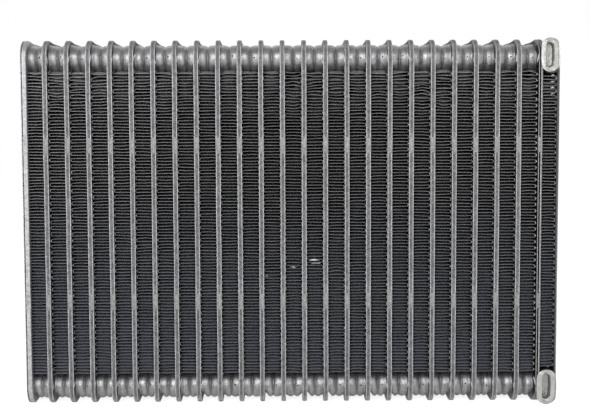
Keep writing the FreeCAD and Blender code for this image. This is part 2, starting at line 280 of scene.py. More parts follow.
def fin_metal(fin, depth):
    """Foil: grey at its cut edges, with painted light and shade between the fins, and painted highlights
    on its bends beside the tubes.
    """
    material, tree, shader, place = new_material("fin_foil")
    across, inward, _ = add_node(tree, "ShaderNodeSeparateXYZ", {"Vector": place}).outputs
    height = along(tree, place, "Z", 0.06, 0.19)

    # The cut edges in front: random wear in patches, and painted light across the core that is dimmer low
    # down
    wear_and_highlight = noise_ramp(tree, place, 240, shade(fin, 0.7), shade(fin, 1.15))
    foil = mix_colour(tree, 0.5, wear_and_highlight, tinted(tree, height, fin))
    lit = colour_ramp(tree, along(tree, place, "X", CAD_LOW.x, CAD_HIGH.x), EDGE_LIGHT)
    gain = mix_colour(tree, along(tree, place, "Z", 0.06, 0.13), (0.4, 0.4, 0.4), lit)
    cut = multiply(tree, multiply(tree, foil, gain), (2.5, 2.5, 2.5))

    # The foil behind them: painted light up the core, and painted shade beside the tubes
    share = along(tree, place, "Z", 0.0, TOP)
    bands = colour_ramp(tree, share, [(level / TOP, light) for level, light in DEPTH_LIGHT])
    to_tube = maths(tree, "PINGPONG", maths(tree, "SUBTRACT", across, FIRST_TUBE), PITCH / 2)
    nook_shade = carry(tree, to_tube, 0.0016, 0.0034, 0.12, 1.25)
    hollow = multiply(tree, multiply(tree, tinted(tree, height, depth), bands), nook_shade)
    # Painted light towards the left end of the core
    within = multiply(tree, hollow, along(tree, place, "X", -0.15, -0.06, 1.2, 1.0))
    from_middle = maths(tree, "ABSOLUTE", maths(tree, "SUBTRACT", inward, MID_DEPTH))
    face = HALF_DEPTH - FIN_SETBACK
    coloured = mix_colour(tree, carry(tree, from_middle, face - 0.0006, face - 0.0001), within, cut)

    # Painted highlights on the fold bends: in patches, and on all of them beside the last tube
    patchy = noise_ramp(tree, place, 330, 0.0, 1.0, 1.0)
    past = along(tree, place, "X", LAST_TUBE - 0.004, LAST_TUBE - 0.003)
    before = along(tree, place, "X", LAST_TUBE, LAST_TUBE - 0.001)
    glint_share = maths(tree, "MULTIPLY_ADD", past, before, patchy)
    bright = maths(tree, "MULTIPLY", attribute(tree, "braze"), glint_share)
    hooked = mix_colour(tree, bright, coloured, shade(fin, 4.4))
    satin = noise_ramp(tree, place, 300, 0.42, 0.62)
    finish_metal(tree, shader, place, 0.25, hooked, satin, 1200, 0.2)
    return material


def bent_foil_metal():
    """Foil of the bent fins, lighter than the other fins, and darkened by painted shade where its
    attribute says so.
    """
    material, tree, shader, place = new_material("bent_fin_foil")
    lightened = with_painted_shade(tree, noise_ramp(tree, place, 900, 0.5, 0.72), (0.5, 0.5, 0.55))
    finish_metal(tree, shader, place, 0.6, lightened, 0.45, 1500, 0.1)
    return material


def pipe_metal(colour):
    """Cut and pressed aluminium tube: pale, with fine saw and press lines."""
    material, tree, shader, place = new_material("cut_aluminium")
    mottle = noise_ramp(tree, place, 420, shade(colour, 0.82), shade(colour, 1.08))
    satin = noise_ramp(tree, place, 260, 0.36, 0.52)
    # Painted shade from the piece's own attribute darkens the colour
    finish_metal(tree, shader, place, 0.75, with_painted_shade(tree, mottle, colour), satin, 700, 0.3)
    return material


def sheet_metal(colour):
    """Rolled sheet with faint rolling lines, and a painted highlight along its outer front edge, stronger
    low down.
    """
    material, tree, shader, place = new_material("rolled_aluminium")
    lines = noise_ramp(tree, place, 90, shade(colour, 0.8), shade(colour, 1.05), 6.0, (1, 1, 30))
    # Painted highlight on the outer front edge, stronger towards the bottom
    wear_and_highlight = along(tree, place, "X", CAD_HIGH.x - 0.0006, CAD_HIGH.x - 0.0003)
    for limits in (("Y", FRONT + 0.0032, FRONT + 0.0018), ("Z", 0.15, 0.02, 0.15, 1.0)):
        wear_and_highlight = maths(tree, "MULTIPLY", wear_and_highlight, along(tree, place, *limits))
    edged = mix_colour(tree, wear_and_highlight, lines, shade(colour, 5.0))
    satin = noise_ramp(tree, place, 120, 0.36, 0.5)
    finish_metal(tree, shader, place, 0.85, edged, satin, 400, 0.15, (1, 1, 12))
    return material


def shared_material(name, make, *colours):
    """The material of that name, made when it is first wanted."""
    return bpy.data.materials.get(name) or make(*(tuple(colour) for colour in colours))


def drawn_metal(context):
    """The metal of plates, cups and beads."""
    return shared_material("drawn_aluminium", plate_metal, context.scene.evaporator_finish.plate)


def cut_metal(context):
    """The metal of pipes and caps."""
    return shared_material("cut_aluminium", pipe_metal, context.scene.evaporator_finish.pipe)


def skin(mesh, loops, closed="capped"):
    """Quads between loops of the same length, with end faces or joined end to end."""
    rings = [[mesh.verts.new(point) for point in loop] for loop in loops]
    pairs = list(zip(rings, rings[1:]))
    if closed == "joined":
        pairs.append((rings[-1], rings[0]))
    for near, far in pairs:
        count = len(near)
        for index in range(count):
            following = (index + 1) % count
            mesh.faces.new((near[index], near[following], far[following], far[index]))
    if closed == "capped":
        mesh.faces.new(rings[0])
        mesh.faces.new(rings[-1])
    return rings


def new_piece(name, mesh, sharp=40.0):
    """An object from a bmesh, with merged points, outward faces and smooth shading."""
    bmesh.ops.remove_doubles(mesh, verts=mesh.verts, dist=2e-6)
    bmesh.ops.recalc_face_normals(mesh, faces=mesh.faces)
    data = bpy.data.meshes.new(name)
    mesh.to_mesh(data)
    mesh.free()
    data.shade_smooth()
    data.set_sharp_from_angle(angle=math.radians(sharp))
    piece = bpy.data.objects.new(name, data)
    bpy.context.scene.collection.objects.link(piece)
    return piece


def shaded_piece(name, shells, sharp):
    """A piece of closed shells, each given as its loops and the painted shade on the last of them."""
    mesh = bmesh.new()
    shade_layer = mesh.verts.layers.float.new("painted_shade")
    for loops, shades in shells:
        for ring, painted_shade in zip(skin(mesh, loops)[-len(shades):], shades):
            for vertex in ring:
                vertex[shade_layer] = painted_shade
    return new_piece(name, mesh, sharp)


def seat(piece, slot, *nodes, metal=None):
    """Puts a finished piece on the core in place of its CAD nodes."""
    if metal:
        piece.data.materials.append(metal)
    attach(piece, "root")
    if nodes:
        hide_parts(*nodes)


class Tree:
    """A geometry node tree with named inputs, built step by step."""

    def __init__(self, name, counts, sizes, places=()):
        self.tree = bpy.data.node_groups.new(name, "GeometryNodeTree")
        self.sockets = {}
        kinds = (
            ("Geometry", ("Geometry",)),
            ("Int", (*counts, "Seed")),
            ("Float", ("Pitch", "Start", *sizes)),
            ("Vector", places),
            ("Material", ("Material",)),
        )
        new_socket = self.tree.interface.new_socket
        for kind, labels in kinds:
            for label in labels:
                socket = new_socket(name=label, in_out="INPUT", socket_type=f"NodeSocket{kind}")
                self.sockets[label] = socket.identifier
        new_socket(name="Geometry", in_out="OUTPUT", socket_type="NodeSocketGeometry")
        self.source = self.tree.nodes.new("NodeGroupInput").outputs

    def node(self, kind, inputs=None, output=0, **settings):
        """A node's result, from its inputs and settings."""
        return add_node(self.tree, kind, inputs, **settings).outputs[output]

    def maths(self, operation, *numbers):
        """The result of a Math node."""
        return maths(self.tree, operation, *numbers)

    def vector(self, **parts):
        """A vector with the named parts, its other parts zero."""
        return self.node("ShaderNodeCombineXYZ", parts)

    def noise(self, scale, detail=2.0):
        """Noise over the place of a point."""
        return self.node("ShaderNodeTexNoise", {"Scale": scale, "Detail": detail}, "Fac")

    def random(self, low, high):
        """A random vector between two others."""
        limits = {"Min": low, "Max": high, "Seed": self.source["Seed"]}
        return self.node("FunctionNodeRandomValue", limits, "Value", data_type="FLOAT_VECTOR")

    def spread(self, amount):
        """A random vector within plus or minus one amount."""
        minus = self.node("ShaderNodeVectorMath", {0: amount, 1: (-1, -1, -1)}, operation="MULTIPLY")
        return self.random(minus, amount)

    def line(self, count, offset, start=(0.0, 0.0, 0.0)):
        """A line of points."""
        inputs = {"Count": count, "Offset": offset, "Start Location": start}
        return self.node("GeometryNodeMeshLine", inputs)

    def placed(self, points, piece, **turns):
        """A piece placed on every point."""
        inputs = {"Points": points, "Instance": piece, **turns}
        return self.node("GeometryNodeInstanceOnPoints", inputs)

    def copies(self, points, piece, **turns):
        """A real copy of a piece on every point."""
        inputs = {"Geometry": self.placed(points, piece, **turns)}
        return self.node("GeometryNodeRealizeInstances", inputs)

    def shifted(self, geometry, offset):
        """A geometry whose points are moved."""
        return self.node("GeometryNodeSetPosition", {"Geometry": geometry, "Offset": offset})

    def finish(self, geometry):
        """The material and the tree's output."""
        inputs = {"Geometry": geometry, "Material": self.source["Material"]}
        painted = self.node("GeometryNodeSetMaterial", inputs)
        add_node(self.tree, "NodeGroupOutput", {"Geometry": painted})
        return self

    def apply(self, piece, metal, values):
        """Runs the tree on a piece and keeps the result as its plain mesh."""
        modifier = piece.modifiers.new(self.tree.name, "NODES")
        modifier.node_group = self.tree
        for label, value in {"Pitch": PITCH, "Material": metal, **values}.items():
            modifier[self.sockets[label]] = value
        bpy.context.view_layer.update()
        evaluated = piece.evaluated_get(bpy.context.evaluated_depsgraph_get())
        result = bpy.data.meshes.new_from_object(evaluated)
        piece.modifiers.clear()
        piece.data = result
        if not result.polygons:
            raise RuntimeError(f"{piece.name} came out empty")


def stack_tree():
    """Copies a piece along the core, waves it sideways and lifts its notches by chance."""
    tree = Tree("Stack along the core", ("Count",), ("Ripple",))
    source = tree.source
    start = tree.vector(X=source["Start"])
    line = tree.line(source["Count"], tree.vector(X=source["Pitch"]), start)
    stacked = tree.placed(line, source["Geometry"])
    chance = tree.random((0.0, 0.0, 0.0), (1.0, 1.0, 0.0))
    inputs = {"Geometry": stacked, "Name": "chance", "Value": chance}
    kinds = {"data_type": "FLOAT_VECTOR", "domain": "INSTANCE"}
    marked = tree.node("GeometryNodeStoreNamedAttribute", inputs, **kinds)
    real = tree.node("GeometryNodeRealizeInstances", {"Geometry": marked})
    wave = tree.maths("SUBTRACT", tree.noise(42.0), 0.5)
    kept, notch = (
        tree.node("GeometryNodeInputNamedAttribute", {"Name": name}, data_type="FLOAT_VECTOR")
        for name in ("chance", "notch")
    )
    lift = tree.node("ShaderNodeVectorMath", {0: kept, 1: notch}, "Value", operation="DOT_PRODUCT")
    offset = tree.vector(X=tree.maths("MULTIPLY", wave, source["Ripple"]), Z=lift)
    return tree.finish(tree.shifted(real, offset))


# The one patch of arched fins: its middle and its radius
ARCH_PLACE = (0.0252, 0.0, 0.0778)
ARCH_RADIUS = 0.0065


def fin_tree():
    """Copies one fold up each column of fins, tilts each a little and waves the whole pack."""
    sizes = ("Rise", "Foot", "Tilt", "Waviness", "Arch")
    tree = Tree("Fin packs", ("Columns", "Folds"), sizes, ("Arch place",))
    source = tree.source
    start = tree.vector(X=source["Start"], Z=source["Foot"])
    columns = tree.line(source["Columns"], tree.vector(X=source["Pitch"]), start)
    rows = tree.line(source["Folds"], tree.vector(Z=source["Rise"]))
    tilt = tree.spread(tree.vector(Y=source["Tilt"]))
    real = tree.copies(tree.copies(columns, rows), source["Geometry"], Rotation=tilt)

    # Waves, stronger in patches near the top, where the fins are crushed
    place = tree.node("GeometryNodeInputPosition")
    height = tree.node("ShaderNodeSeparateXYZ", {"Vector": place}, "Z")
    crush = carry(tree.tree, height, 0.158, 0.184)
    patchy = carry(tree.tree, tree.noise(26.0, 1.0), 0.42, 0.66, 2.0, 9.0)
    gain = tree.maths("MULTIPLY", tree.maths("MULTIPLY_ADD", crush, patchy, 2.5), source["Waviness"])
    lift = tree.maths("MULTIPLY", tree.maths("SUBTRACT", tree.noise(190.0), 0.5), gain)

    # The arched patch, measured across the front
    flat = tree.node("ShaderNodeVectorMath", {0: place, 1: (1, 0, 1)}, operation="MULTIPLY")
    ends = {0: flat, 1: source["Arch place"]}
    away = tree.node("ShaderNodeVectorMath", ends, "Value", operation="DISTANCE")
    rounded = {"interpolation_type": "SMOOTHSTEP"}
    arch = carry(tree.tree, away, 0.0, ARCH_RADIUS, source["Arch"], 0.0, **rounded)
    return tree.finish(tree.shifted(real, tree.vector(Z=tree.maths("ADD", lift, arch))))


def bead_tree():
    """Scatters beads on the sides of every strip, near its top and its bottom."""
    sizes = ("Half width", "Front", "Bottom", "Spread", "Jitter", "Sink")
    tree = Tree("Braze beads", ("Count", "Sides"), sizes)
    source = tree.source
    left = tree.maths("SUBTRACT", source["Start"], source["Half width"])
    start = tree.vector(X=left, Y=source["Front"], Z=source["Bottom"])
    points = tree.line(source["Count"], tree.vector(X=source["Pitch"]), start)
    width = tree.maths("MULTIPLY", source["Half width"], 2.0)
    points = tree.copies(points, tree.line(source["Sides"], tree.vector(X=width)))
    points = tree.copies(points, tree.line(2, tree.vector(Z=source["Spread"])))
    wander = tree.spread(tree.vector(X=source["Sink"], Y=source["Sink"], Z=source["Jitter"]))
    turn = tree.random((0.0, -0.3, -0.4), (0.0, 0.3, 0.4))
    size = tree.random((0.6, 0.7, 0.5), (1.15, 1.2, 1.3))
    moved = tree.shifted(points, wander)
    return tree.finish(tree.copies(moved, source["Geometry"], Rotation=turn, Scale=size))


# Steps along the upper and lower edge of a plate: share of the run, dip behind the corners
EDGE_DIPS = ((-1, 0.0), (-0.6, 0.0007), (-0.2, 0.0005), (0.2, 0.0005), (0.6, 0.0007), (1, 0.0))


def outline_stations(corner, tab_spread, tab_length):
    """Stations round a plate: outer point, inward direction, groove and tab shares."""
    straight = MID_HEIGHT - corner
    # Pairs of stations at the ends of the tabs, and even ones that let the ripple bend the edge
    ease = 0.0006
    levels = {-straight, straight, 0.0, *(step * 0.016 + 0.003 for step in range(-5, 6))}
    for side in (-1, 1):
        for edge in (-1, 1):
            end = side * tab_spread / 2 + edge * tab_length / 2
            levels.update((end - ease, end + ease))
    levels = sorted(levels)

    stations = []
    for level in levels:
        tab = float(abs(abs(level) - tab_spread / 2) < tab_length / 2)
        stations.append((-HALF_DEPTH, level, -1.0, 0.0, 1.0, tab))
    steps = 8

    def turn(y_sign, z_sign, start):
        for count in range(1, steps):
            angle = start - math.pi / 2 * count / steps
            out_y, out_z = math.cos(angle), math.sin(angle)
            y = y_sign * (HALF_DEPTH - corner) + corner * out_y
            z = z_sign * straight + corner * out_z
            groove = max(0.0, min(1.0, (abs(out_y) - 0.62) / 0.25))
            stations.append((y, z, out_y, out_z, groove, 0.0))

    def run(z_sign, y_sign):
        for share, dip in EDGE_DIPS:
            y = share * y_sign * (HALF_DEPTH - corner)
            stations.append((y, z_sign * (MID_HEIGHT - dip), 0.0, float(z_sign), 0.0, 0.0))

    turn(-1, 1, math.pi)
    run(1, 1)
    turn(1, 1, math.pi / 2)
    for level in reversed(levels):
        stations.append((HALF_DEPTH, level, 1.0, 0.0, 1.0, 0.0))
    turn(1, -1, 0.0)
    run(-1, -1)
    turn(-1, -1, -math.pi / 2)
    return stations


# Half a rim's section as (inward, outward) in millimetres, from the web to the middle of the rim
GROOVED_RIM = [
    (9.4, 1.24), (5.6, 1.30), (4.0, 1.26), (2.6, 1.22), (1.4, 1.22), (0.6, 1.25),
    (0.16, 1.28), (0.0, 1.16), (0.0, 0.96), (0.2, 0.80), (0.9, 0.62), (1.5, 0.0),
]
CLOSED_RIM = [
    (9.4, 1.24), (5.6, 1.30), (4.0, 1.26), (2.6, 1.24), (1.4, 1.26), (0.8, 1.28),
    (0.3, 1.22), (0.1, 1.04), (0.02, 0.80), (0.0, 0.54), (0.0, 0.27), (0.0, 0.0),
]
TAB_RIM = [
    (9.4, 1.24), (5.6, 1.30), (4.0, 1.26), (2.6, 1.22), (1.4, 1.24), (0.6, 1.32),
    (0.2, 1.38), (0.06, 1.24), (0.02, 1.02), (0.1, 0.74), (0.3, 0.4), (0.36, 0.0),
]
SHEET_RIM = [
    (9.4, 1.0), (5.6, 1.0), (4.0, 1.0), (2.6, 1.0), (1.4, 1.0), (0.6, 1.0),
    (0.3, 1.0), (0.12, 0.96), (0.04, 0.84), (0.0, 0.6), (0.0, 0.3), (0.0, 0.0),
]
# The rim between the tabs, round the corners and at the tabs
TUBE_RIMS = (GROOVED_RIM, CLOSED_RIM, TAB_RIM)
FLAT_RIMS = (CLOSED_RIM, CLOSED_RIM, TAB_RIM)
SHEET_RIMS = (SHEET_RIM, SHEET_RIM, SHEET_RIM)
# How much of each of those points is sheared rim, and the painted shade on it in a groove, corner or tab
RIM_SHARES = (0.0, 0.0, 0.0, 0.2, 0.8, 1.0, 1.0, 1.0, 1.0, 1.0, 1.0, 1.0)
GROOVE_SHADE = (0.0, 0.9, 0.9, 0.9, 0.75, 0.15, 0.0, 0.0, 0.05, 0.15, 0.25, 0.32)
CORNER_SHADE = (0.0, 0.4, 0.5, 0.5, 0.45, 0.35, 0.35, 0.35, 0.35, 0.4, 0.4, 0.4)
TAB_SHADE = (0.0, 0.9, 0.9, 0.9, 0.7, 0.3, 0.4, 0.5, 0.55, 0.55, 0.55, 0.55)
# How much of its painted shade a rim has on the lower half, in the upper corners and on the upper edge
LOWER_SHADE, CORNER_SHADOW, EDGE_SHADOW = 0.8, 1.45, 2.3
TAB_SHADE_LIMIT = 0.75


def blend_shares(grooved, closed, clinched, groove, tab):
    """One value out of three, by how far a station is grooved and how far a tab bridges it."""
    return (grooved * groove + closed * (1 - groove)) * (1 - tab) + clinched * tab


def rim_section(rims, groove, tab, width, deepen):
    """A rim's section at one station, from the left web to the right web."""
    half = [
        [blend_shares(g, c, t, groove, tab) * 0.001 for g, c, t in zip(*points)]
        for points in zip(*rims)
    ]
    for point in half[-2:]:
        point[0] += deepen * groove * (1 - tab)
    left_side = [(inward, -outward * width) for inward, outward in half]
    right_side = [(inward, outward * width) for inward, outward in reversed(half[:-1])]
    return left_side + right_side


def make_tube(name, settings, centre, rims=TUBE_RIMS, width=1.0, deepen=0.0, painted_shade=1.0, flare=0.0):
    """One flat tube: two stamped plates rim to rim, round a rounded rectangle."""
    mesh = bmesh.new()
    rim, shade_layer = (mesh.verts.layers.float.new(layer) for layer in ("rim", "painted_shade"))
    rings = []
    for y, z, out_y, out_z, groove, tab in outline_stations(
        settings.corner, settings.tab_spread, settings.tab_length
    ):
        section = rim_section(rims, groove, tab, width + flare * (1 - groove), deepen)
        ring = [
            mesh.verts.new(
                (centre + across, MID_DEPTH + y - out_y * inward, MID_HEIGHT + z - out_z * inward)
            )
            for inward, across in section
        ]
        # Painted shade on the flanks between the tubes and in the groove, over the tabs and corners, and
        # most on the upper edge behind the crest
        shadow = LOWER_SHADE if z < 0 else CORNER_SHADOW if out_y else EDGE_SHADOW
        grooved = min(painted_shade, TAB_SHADE_LIMIT) if tab else painted_shade
        amount = grooved * groove + min(painted_shade, 1.0) * (1 - groove) * shadow
        for index, shades in enumerate(zip(GROOVE_SHADE, CORNER_SHADE, TAB_SHADE)):
            for vertex in (ring[index], ring[-1 - index]):
                vertex[rim] = RIM_SHARES[index]
                vertex[shade_layer] = min(1.0, amount * blend_shares(*shades, groove, tab))
        rings.append(ring)
    for near, far in zip(rings, rings[1:] + rings[:1]):
        for index in range(len(near) - 1):
            mesh.faces.new((near[index], near[index + 1], far[index + 1], far[index]))
    mesh.faces.new([ring[0] for ring in rings])
    mesh.faces.new([ring[-1] for ring in rings])
    return new_piece(name, mesh)


# End sheets and end tubes: piece, place, rims, width, deeper groove, painted shade, flare at the corners,
# node
ENDS = (
    ("left_end_sheet", LEFT_PLATE_LOW.x + 0.00056, SHEET_RIMS, 0.22, 0.0, 0.0, 0.0, "left_end_plate"),
    ("left_end_tube", FIRST_TUBE + 0.00062, FLAT_RIMS, 0.94, 0.0, 0.3, 0.0, "tube_plates_01"),
    ("right_end_tube", LAST_TUBE, TUBE_RIMS, 0.82, 0.0014, 2.2, 0.55, f"tube_plates_{TUBE_COUNT:02d}"),
    ("right_end_sheet", RIGHT_PLATE_HIGH.x - 0.00045, SHEET_RIMS, 0.42, 0.0, 1.2, 0.6, "right_end_plate"),
)


class EVAPORATOR_OT_tubes(bpy.types.Operator):
    """Builds the flat tubes with their grooved rims and clinch tabs"""

    bl_idname = "evaporator.tubes"
    bl_label = "Plate tubes"

    def execute(self, context):
        settings = context.scene.evaporator_plates
        metal = drawn_metal(context)
        # One tube about the origin, copied to every place between the end tubes
        tubes = make_tube("plate_tubes", settings, 0.0)
        values = {"Count": TUBE_COUNT - 2, "Start": FIRST_TUBE + PITCH, "Ripple": settings.ripple}
        stack_tree().apply(tubes, metal, values)
        seat(tubes, "plates", *(f"tube_plates_{n:02d}" for n in range(2, TUBE_COUNT)))
        for name, *sizes, node in ENDS:
            seat(make_tube(name, settings, *sizes), "plates", node, metal=metal)
        return {"FINISHED"}


# Half of a cup's profile across its gap: share of the half gap, share of the crown it falls by
CUP_PROFILE = (
    (0.97, 0.0), (0.9, 0.04), (0.72, 0.0), (0.52, 0.0), (0.36, 0.12), (0.22, 0.3),
    (0.1, 0.56), (0.035, 0.84), (0.0, 1.0),
)


def oval(radius, half_run, grow, segments=9):
    """A long oval across the depth, grown by an amount, as (depth, height) pairs."""
    points = []
    for end, start in ((1, -90), (-1, 90)):
        for count in range(segments + 1):
            angle = math.radians(start + 180 * count / segments)
            depth = end * half_run + (radius + grow) * math.cos(angle)
            points.append((depth, (radius + grow) * math.sin(angle)))
    return points


class EVAPORATOR_OT_cups(bpy.types.Operator):
    """Builds the two rows of drawn tank cups between the tubes"""

    bl_idname = "evaporator.cups"
    bl_label = "Tank cups"

    def execute(self, context):
        settings = context.scene.evaporator_cups
        # Each cup runs a little into the plates on both sides
        half_gap = PITCH / 2 - 0.0012
        profile = [(1.0, 0.0005), *((x, -fall * settings.crown) for x, fall in CUP_PROFILE)]
        rings = [(-x * half_gap, grow) for x, grow in profile]
        rings += [(x * half_gap, grow) for x, grow in reversed(profile[:-1])]
        half_run = HALF_DEPTH - settings.setback - settings.radius
        raised = MID_HEIGHT - settings.margin - settings.radius
        mesh = bmesh.new()
        notch = mesh.verts.layers.float_vector.new("notch")
        for level in (MID_HEIGHT + raised, MID_HEIGHT - raised - settings.drop):
            loops = [
                [
                    (across, MID_DEPTH + depth, level + height)
                    for depth, height in oval(settings.radius, half_run, grow)
                ]
                for across, grow in rings
            ]
            for ring in skin(mesh, loops):
                for vertex in ring:
                    beside = max(0.0, min(1.0, (abs(vertex.co.x) / half_gap - 0.45) / 0.5))
                    below = max(0.0, (level - vertex.co.z) / settings.radius)
                    share = settings.notch * beside * below ** 2 if level < MID_HEIGHT else 0.0
                    vertex[notch] = (share, 0.0, 0.0) if vertex.co.x < 0 else (0.0, 0.6 * share, 0.0)
        cups = new_piece("tank_cups", mesh, 50.0)
        values = {"Count": TUBE_COUNT - 1, "Start": FIRST_TUBE + PITCH / 2, "Seed": settings.seed}
        stack_tree().apply(cups, drawn_metal(context), values)
        seat(cups, "plates")
        return {"FINISHED"}


# Beads and pits: piece, the mark they carry, factors of a small ball, and how they are scattered
SCATTERED = (
    (
        "braze_beads", "rim", (0.85, 1.7, 6.2),
        {
            "Half width": 0.00128, "Sides": 2, "Front": FRONT + 0.0014, "Bottom": 0.0112,
            "Jitter": 0.0012, "Sink": 0.0001, "Seed": 5,
        },
    ),
    (
        # The pits carry painted shade on all their points, which paints them nearly black
        "cup_pits", "painted_shade", (0.9, 0.5, 1.0),
        {
            "Half width": 0.0039, "Sides": 1, "Front": FRONT + 0.0061, "Bottom": 0.0097,
            "Jitter": 0.0009, "Sink": 0.0003, "Seed": 8,
        },
    ),
)


class EVAPORATOR_OT_beads(bpy.types.Operator):
    """Builds the beads of braze where the cups meet the strips, and small pits in the cups, darkened by
    painted shade
    """

    bl_idname = "evaporator.beads"
    bl_label = "Braze beads"

    def execute(self, context):
        tree = bead_tree()
        for name, layer, shape, places in SCATTERED:
            mesh = bmesh.new()
            bmesh.ops.create_icosphere(mesh, subdivisions=1, radius=0.0005)
            marked = mesh.verts.layers.float.new(layer)
            for vertex in mesh.verts:
                vertex[marked] = 1.0
            bmesh.ops.scale(mesh, verts=mesh.verts, vec=shape)
            beads = new_piece(name, mesh, 80.0)
            spread = TOP - 2 * places["Bottom"] - 0.0001
            values = {"Count": TUBE_COUNT - 1, "Start": FIRST_TUBE + PITCH, "Spread": spread}
            tree.apply(beads, drawn_metal(context), {**values, **places})
            seat(beads, "plates")
        return {"FINISHED"}


# Through the depth of a fold: share of the depth, share of the louvres' rise
LOUVRES = ((0.0, 0.0), (0.012, 0.0), (0.075, 1.0), (0.3, -0.7), (0.7, 0.8), (1.0, 0.0))


def make_fold(name, half_width, rise, settings):
    """One fold of the foil: two legs and two bends, with a louvred middle in its depth."""
    bend = 0.00035
    leg = rise / 2
    path = [
        (-half_width, -leg * 0.5),
        (-half_width + bend, 0.0),
        (0.0, 0.0),
        (half_width - bend, 0.0),
        (half_width, leg * 0.5),
        (half_width - bend, leg),
        (0.0, leg),
        (-half_width + bend, leg),
        (-half_width, leg * 1.5),
    ]
    count = len(path)
    foil = settings.foil / 2
    outline = []
    for side in (1, -1):
        run = []
        for index, (across, up) in enumerate(path):
            before = path[max(index - 1, 0)]
            after = path[min(index + 1, count - 1)]
            heading = Vector((after[0] - before[0], after[1] - before[1])).normalized()
            run.append((across - heading.y * foil * side, up + heading.x * foil * side))
        outline += run[::side]
    front = FRONT + settings.setback
    length = REAR - settings.setback - front
    loops = [
        [(x, front + length * share, z + lift * settings.louvre) for x, z in outline]
        for share, lift in LOUVRES
    ]
    mesh = bmesh.new()
    # Marks the bends, which the fins' material gives a painted highlight
    braze = mesh.verts.layers.float.new("braze")
    rings = skin(mesh, loops, "open")
    for ring in rings:
        for vertex in ring:
            vertex[braze] = float(abs(vertex.co.x) > half_width - bend / 2)
    for ring in (rings[0], rings[-1]):
        for index in range(count - 1):
            far = 2 * count - 1 - index
            mesh.faces.new((ring[index], ring[index + 1], ring[far - 1], ring[far]))
    return new_piece(name, mesh)


class EVAPORATOR_OT_fins(bpy.types.Operator):
    """Builds the packs of folded fins between the tubes and outside the last one"""

    bl_idname = "evaporator.fins"
    bl_label = "Fin packs"

    def execute(self, context):
        settings = context.scene.evaporator_fins
        finish = context.scene.evaporator_finish
        metal = shared_material("fin_foil", fin_metal, finish.fin, finish.depth)
        half = (TUBE_COUNT - 1) // 2
        gap = (FIRST_GAP_HIGH.x - FIRST_GAP_LOW.x) / 2 - 0.00002
        outer_gap = (OUTER_FIN_HIGH.x - OUTER_FIN_LOW.x) / 2
        inner_span = (FIRST_GAP_LOW.z - 0.0008, FIRST_GAP_HIGH.z, settings.folds)
        outer_span = (OUTER_FIN_LOW.z - 0.0017, OUTER_FIN_HIGH.z + 0.0013, settings.outer_folds)
        outer_middle = (OUTER_FIN_LOW.x + OUTER_FIN_HIGH.x) / 2
        packs = (
            ("fins_left", 0, half, FIRST_TUBE + PITCH * 0.5, gap, inner_span),
            ("fins_right", half, half, FIRST_TUBE + PITCH * (half + 0.5), gap, inner_span),
            ("fins_outer", TUBE_COUNT - 1, 1, outer_middle, outer_gap, outer_span),
        )
        for name, first, columns, start, half_width, (low, high, folds) in packs:
            rise = (high - low) / folds
            pack = make_fold(name, half_width, rise, settings)
            values = {
                "Columns": columns,
                "Start": start,
                "Folds": folds,
                "Rise": rise,
                "Foot": low + rise / 4,
                "Tilt": settings.tilt,
                "Waviness": settings.waviness,
                "Arch": settings.arch,
                "Arch place": ARCH_PLACE,
                "Seed": settings.seed + first,
            }
            fin_tree().apply(pack, metal, values)
            numbers = range(first + 1, first + columns + 1)
            seat(pack, "fins", *(f"fin_pack_{n:02d}" for n in numbers))
        return {"FINISHED"}


# Bent fins in millimetres: middle across, height, length, thickness, how far they stand out, painted
# shade
BENT_FINS = (
    (12.9, 81.4, 6.4, 1.0, 0.8, 0.0),
    (13.6, 79.5, 5.2, 1.1, 0.4, 0.6),
    (15.9, 79.7, 1.8, 0.5, 0.7, 0.1),
    (1.0, 77.6, 4.2, 0.5, 0.4, 0.5),
    (1.6, 77.2, 1.9, 0.5, 0.6, 0.0),
    (-13.8, 72.4, 2.6, 0.4, 0.4, 0.4),
    (145.3, 183.5, 2.6, 1.0, 0.6, 0.2),
    (145.2, 180.0, 3.0, 0.7, 0.5, 0.2),
    (145.2, 176.7, 3.0, 0.9, 0.6, 0.2),
    (145.3, 173.4, 2.6, 0.6, 0.4, 0.3),
    (144.5, 20.3, 1.0, 0.6, 0.5, 0.2),
)


class EVAPORATOR_OT_bent_fins(bpy.types.Operator):
    """Builds the few fins that have been knocked flat and catch the light"""

    bl_idname = "evaporator.bent_fins"
    bl_label = "Bent fins"

    def execute(self, context):
        face = FRONT + context.scene.evaporator_fins.setback
        shells = []
        for *sizes, painted_shade in BENT_FINS:
            across, height, length, thickness, proud = (size * 0.001 for size in sizes)
            loops = []
            for step in range(9):
                share = -0.96 + 1.92 * step / 8
                swell = math.cos(share * math.pi / 2)
                x = across + length / 2 * share
                middle = height + thickness * 0.5 * (swell - 0.6)
                half = thickness / 2 * swell
                loops.append(
                    [
                        (x, face - proud * swell * 0.8, middle + half),
                        (x, face - proud * swell, middle - half * 0.6),
                        (x, face - proud * swell * 0.5, middle - half),
                        (x, face + 0.0004, middle),
                    ]
                )
            shells.append((loops, [painted_shade] * len(loops)))
        metal = shared_material("bent_fin_foil", bent_foil_metal)
        seat(shaded_piece("bent_fins", shells, 60.0), "fins", metal=metal)
        return {"FINISHED"}


def slot_loop(y, half_width, half_height, centre, lean=0.0, point=1.0, segments=40):
    """A flattened ring about a pipe's centre: round where its two halves are equal."""
    loop = []
    for count in range(segments):
        angle = 2 * math.pi * (count + 0.5) / segments
        across, up = math.cos(angle), math.sin(angle)
        across = math.copysign(abs(across) ** point, across)
        lift = max(-1.0, min(1.0, up * 3.2))
        x = centre.x + half_width * across + lean
        z = centre.z + half_width * up + (half_height - half_width) * lift
        loop.append((x, y, z))
    return loop


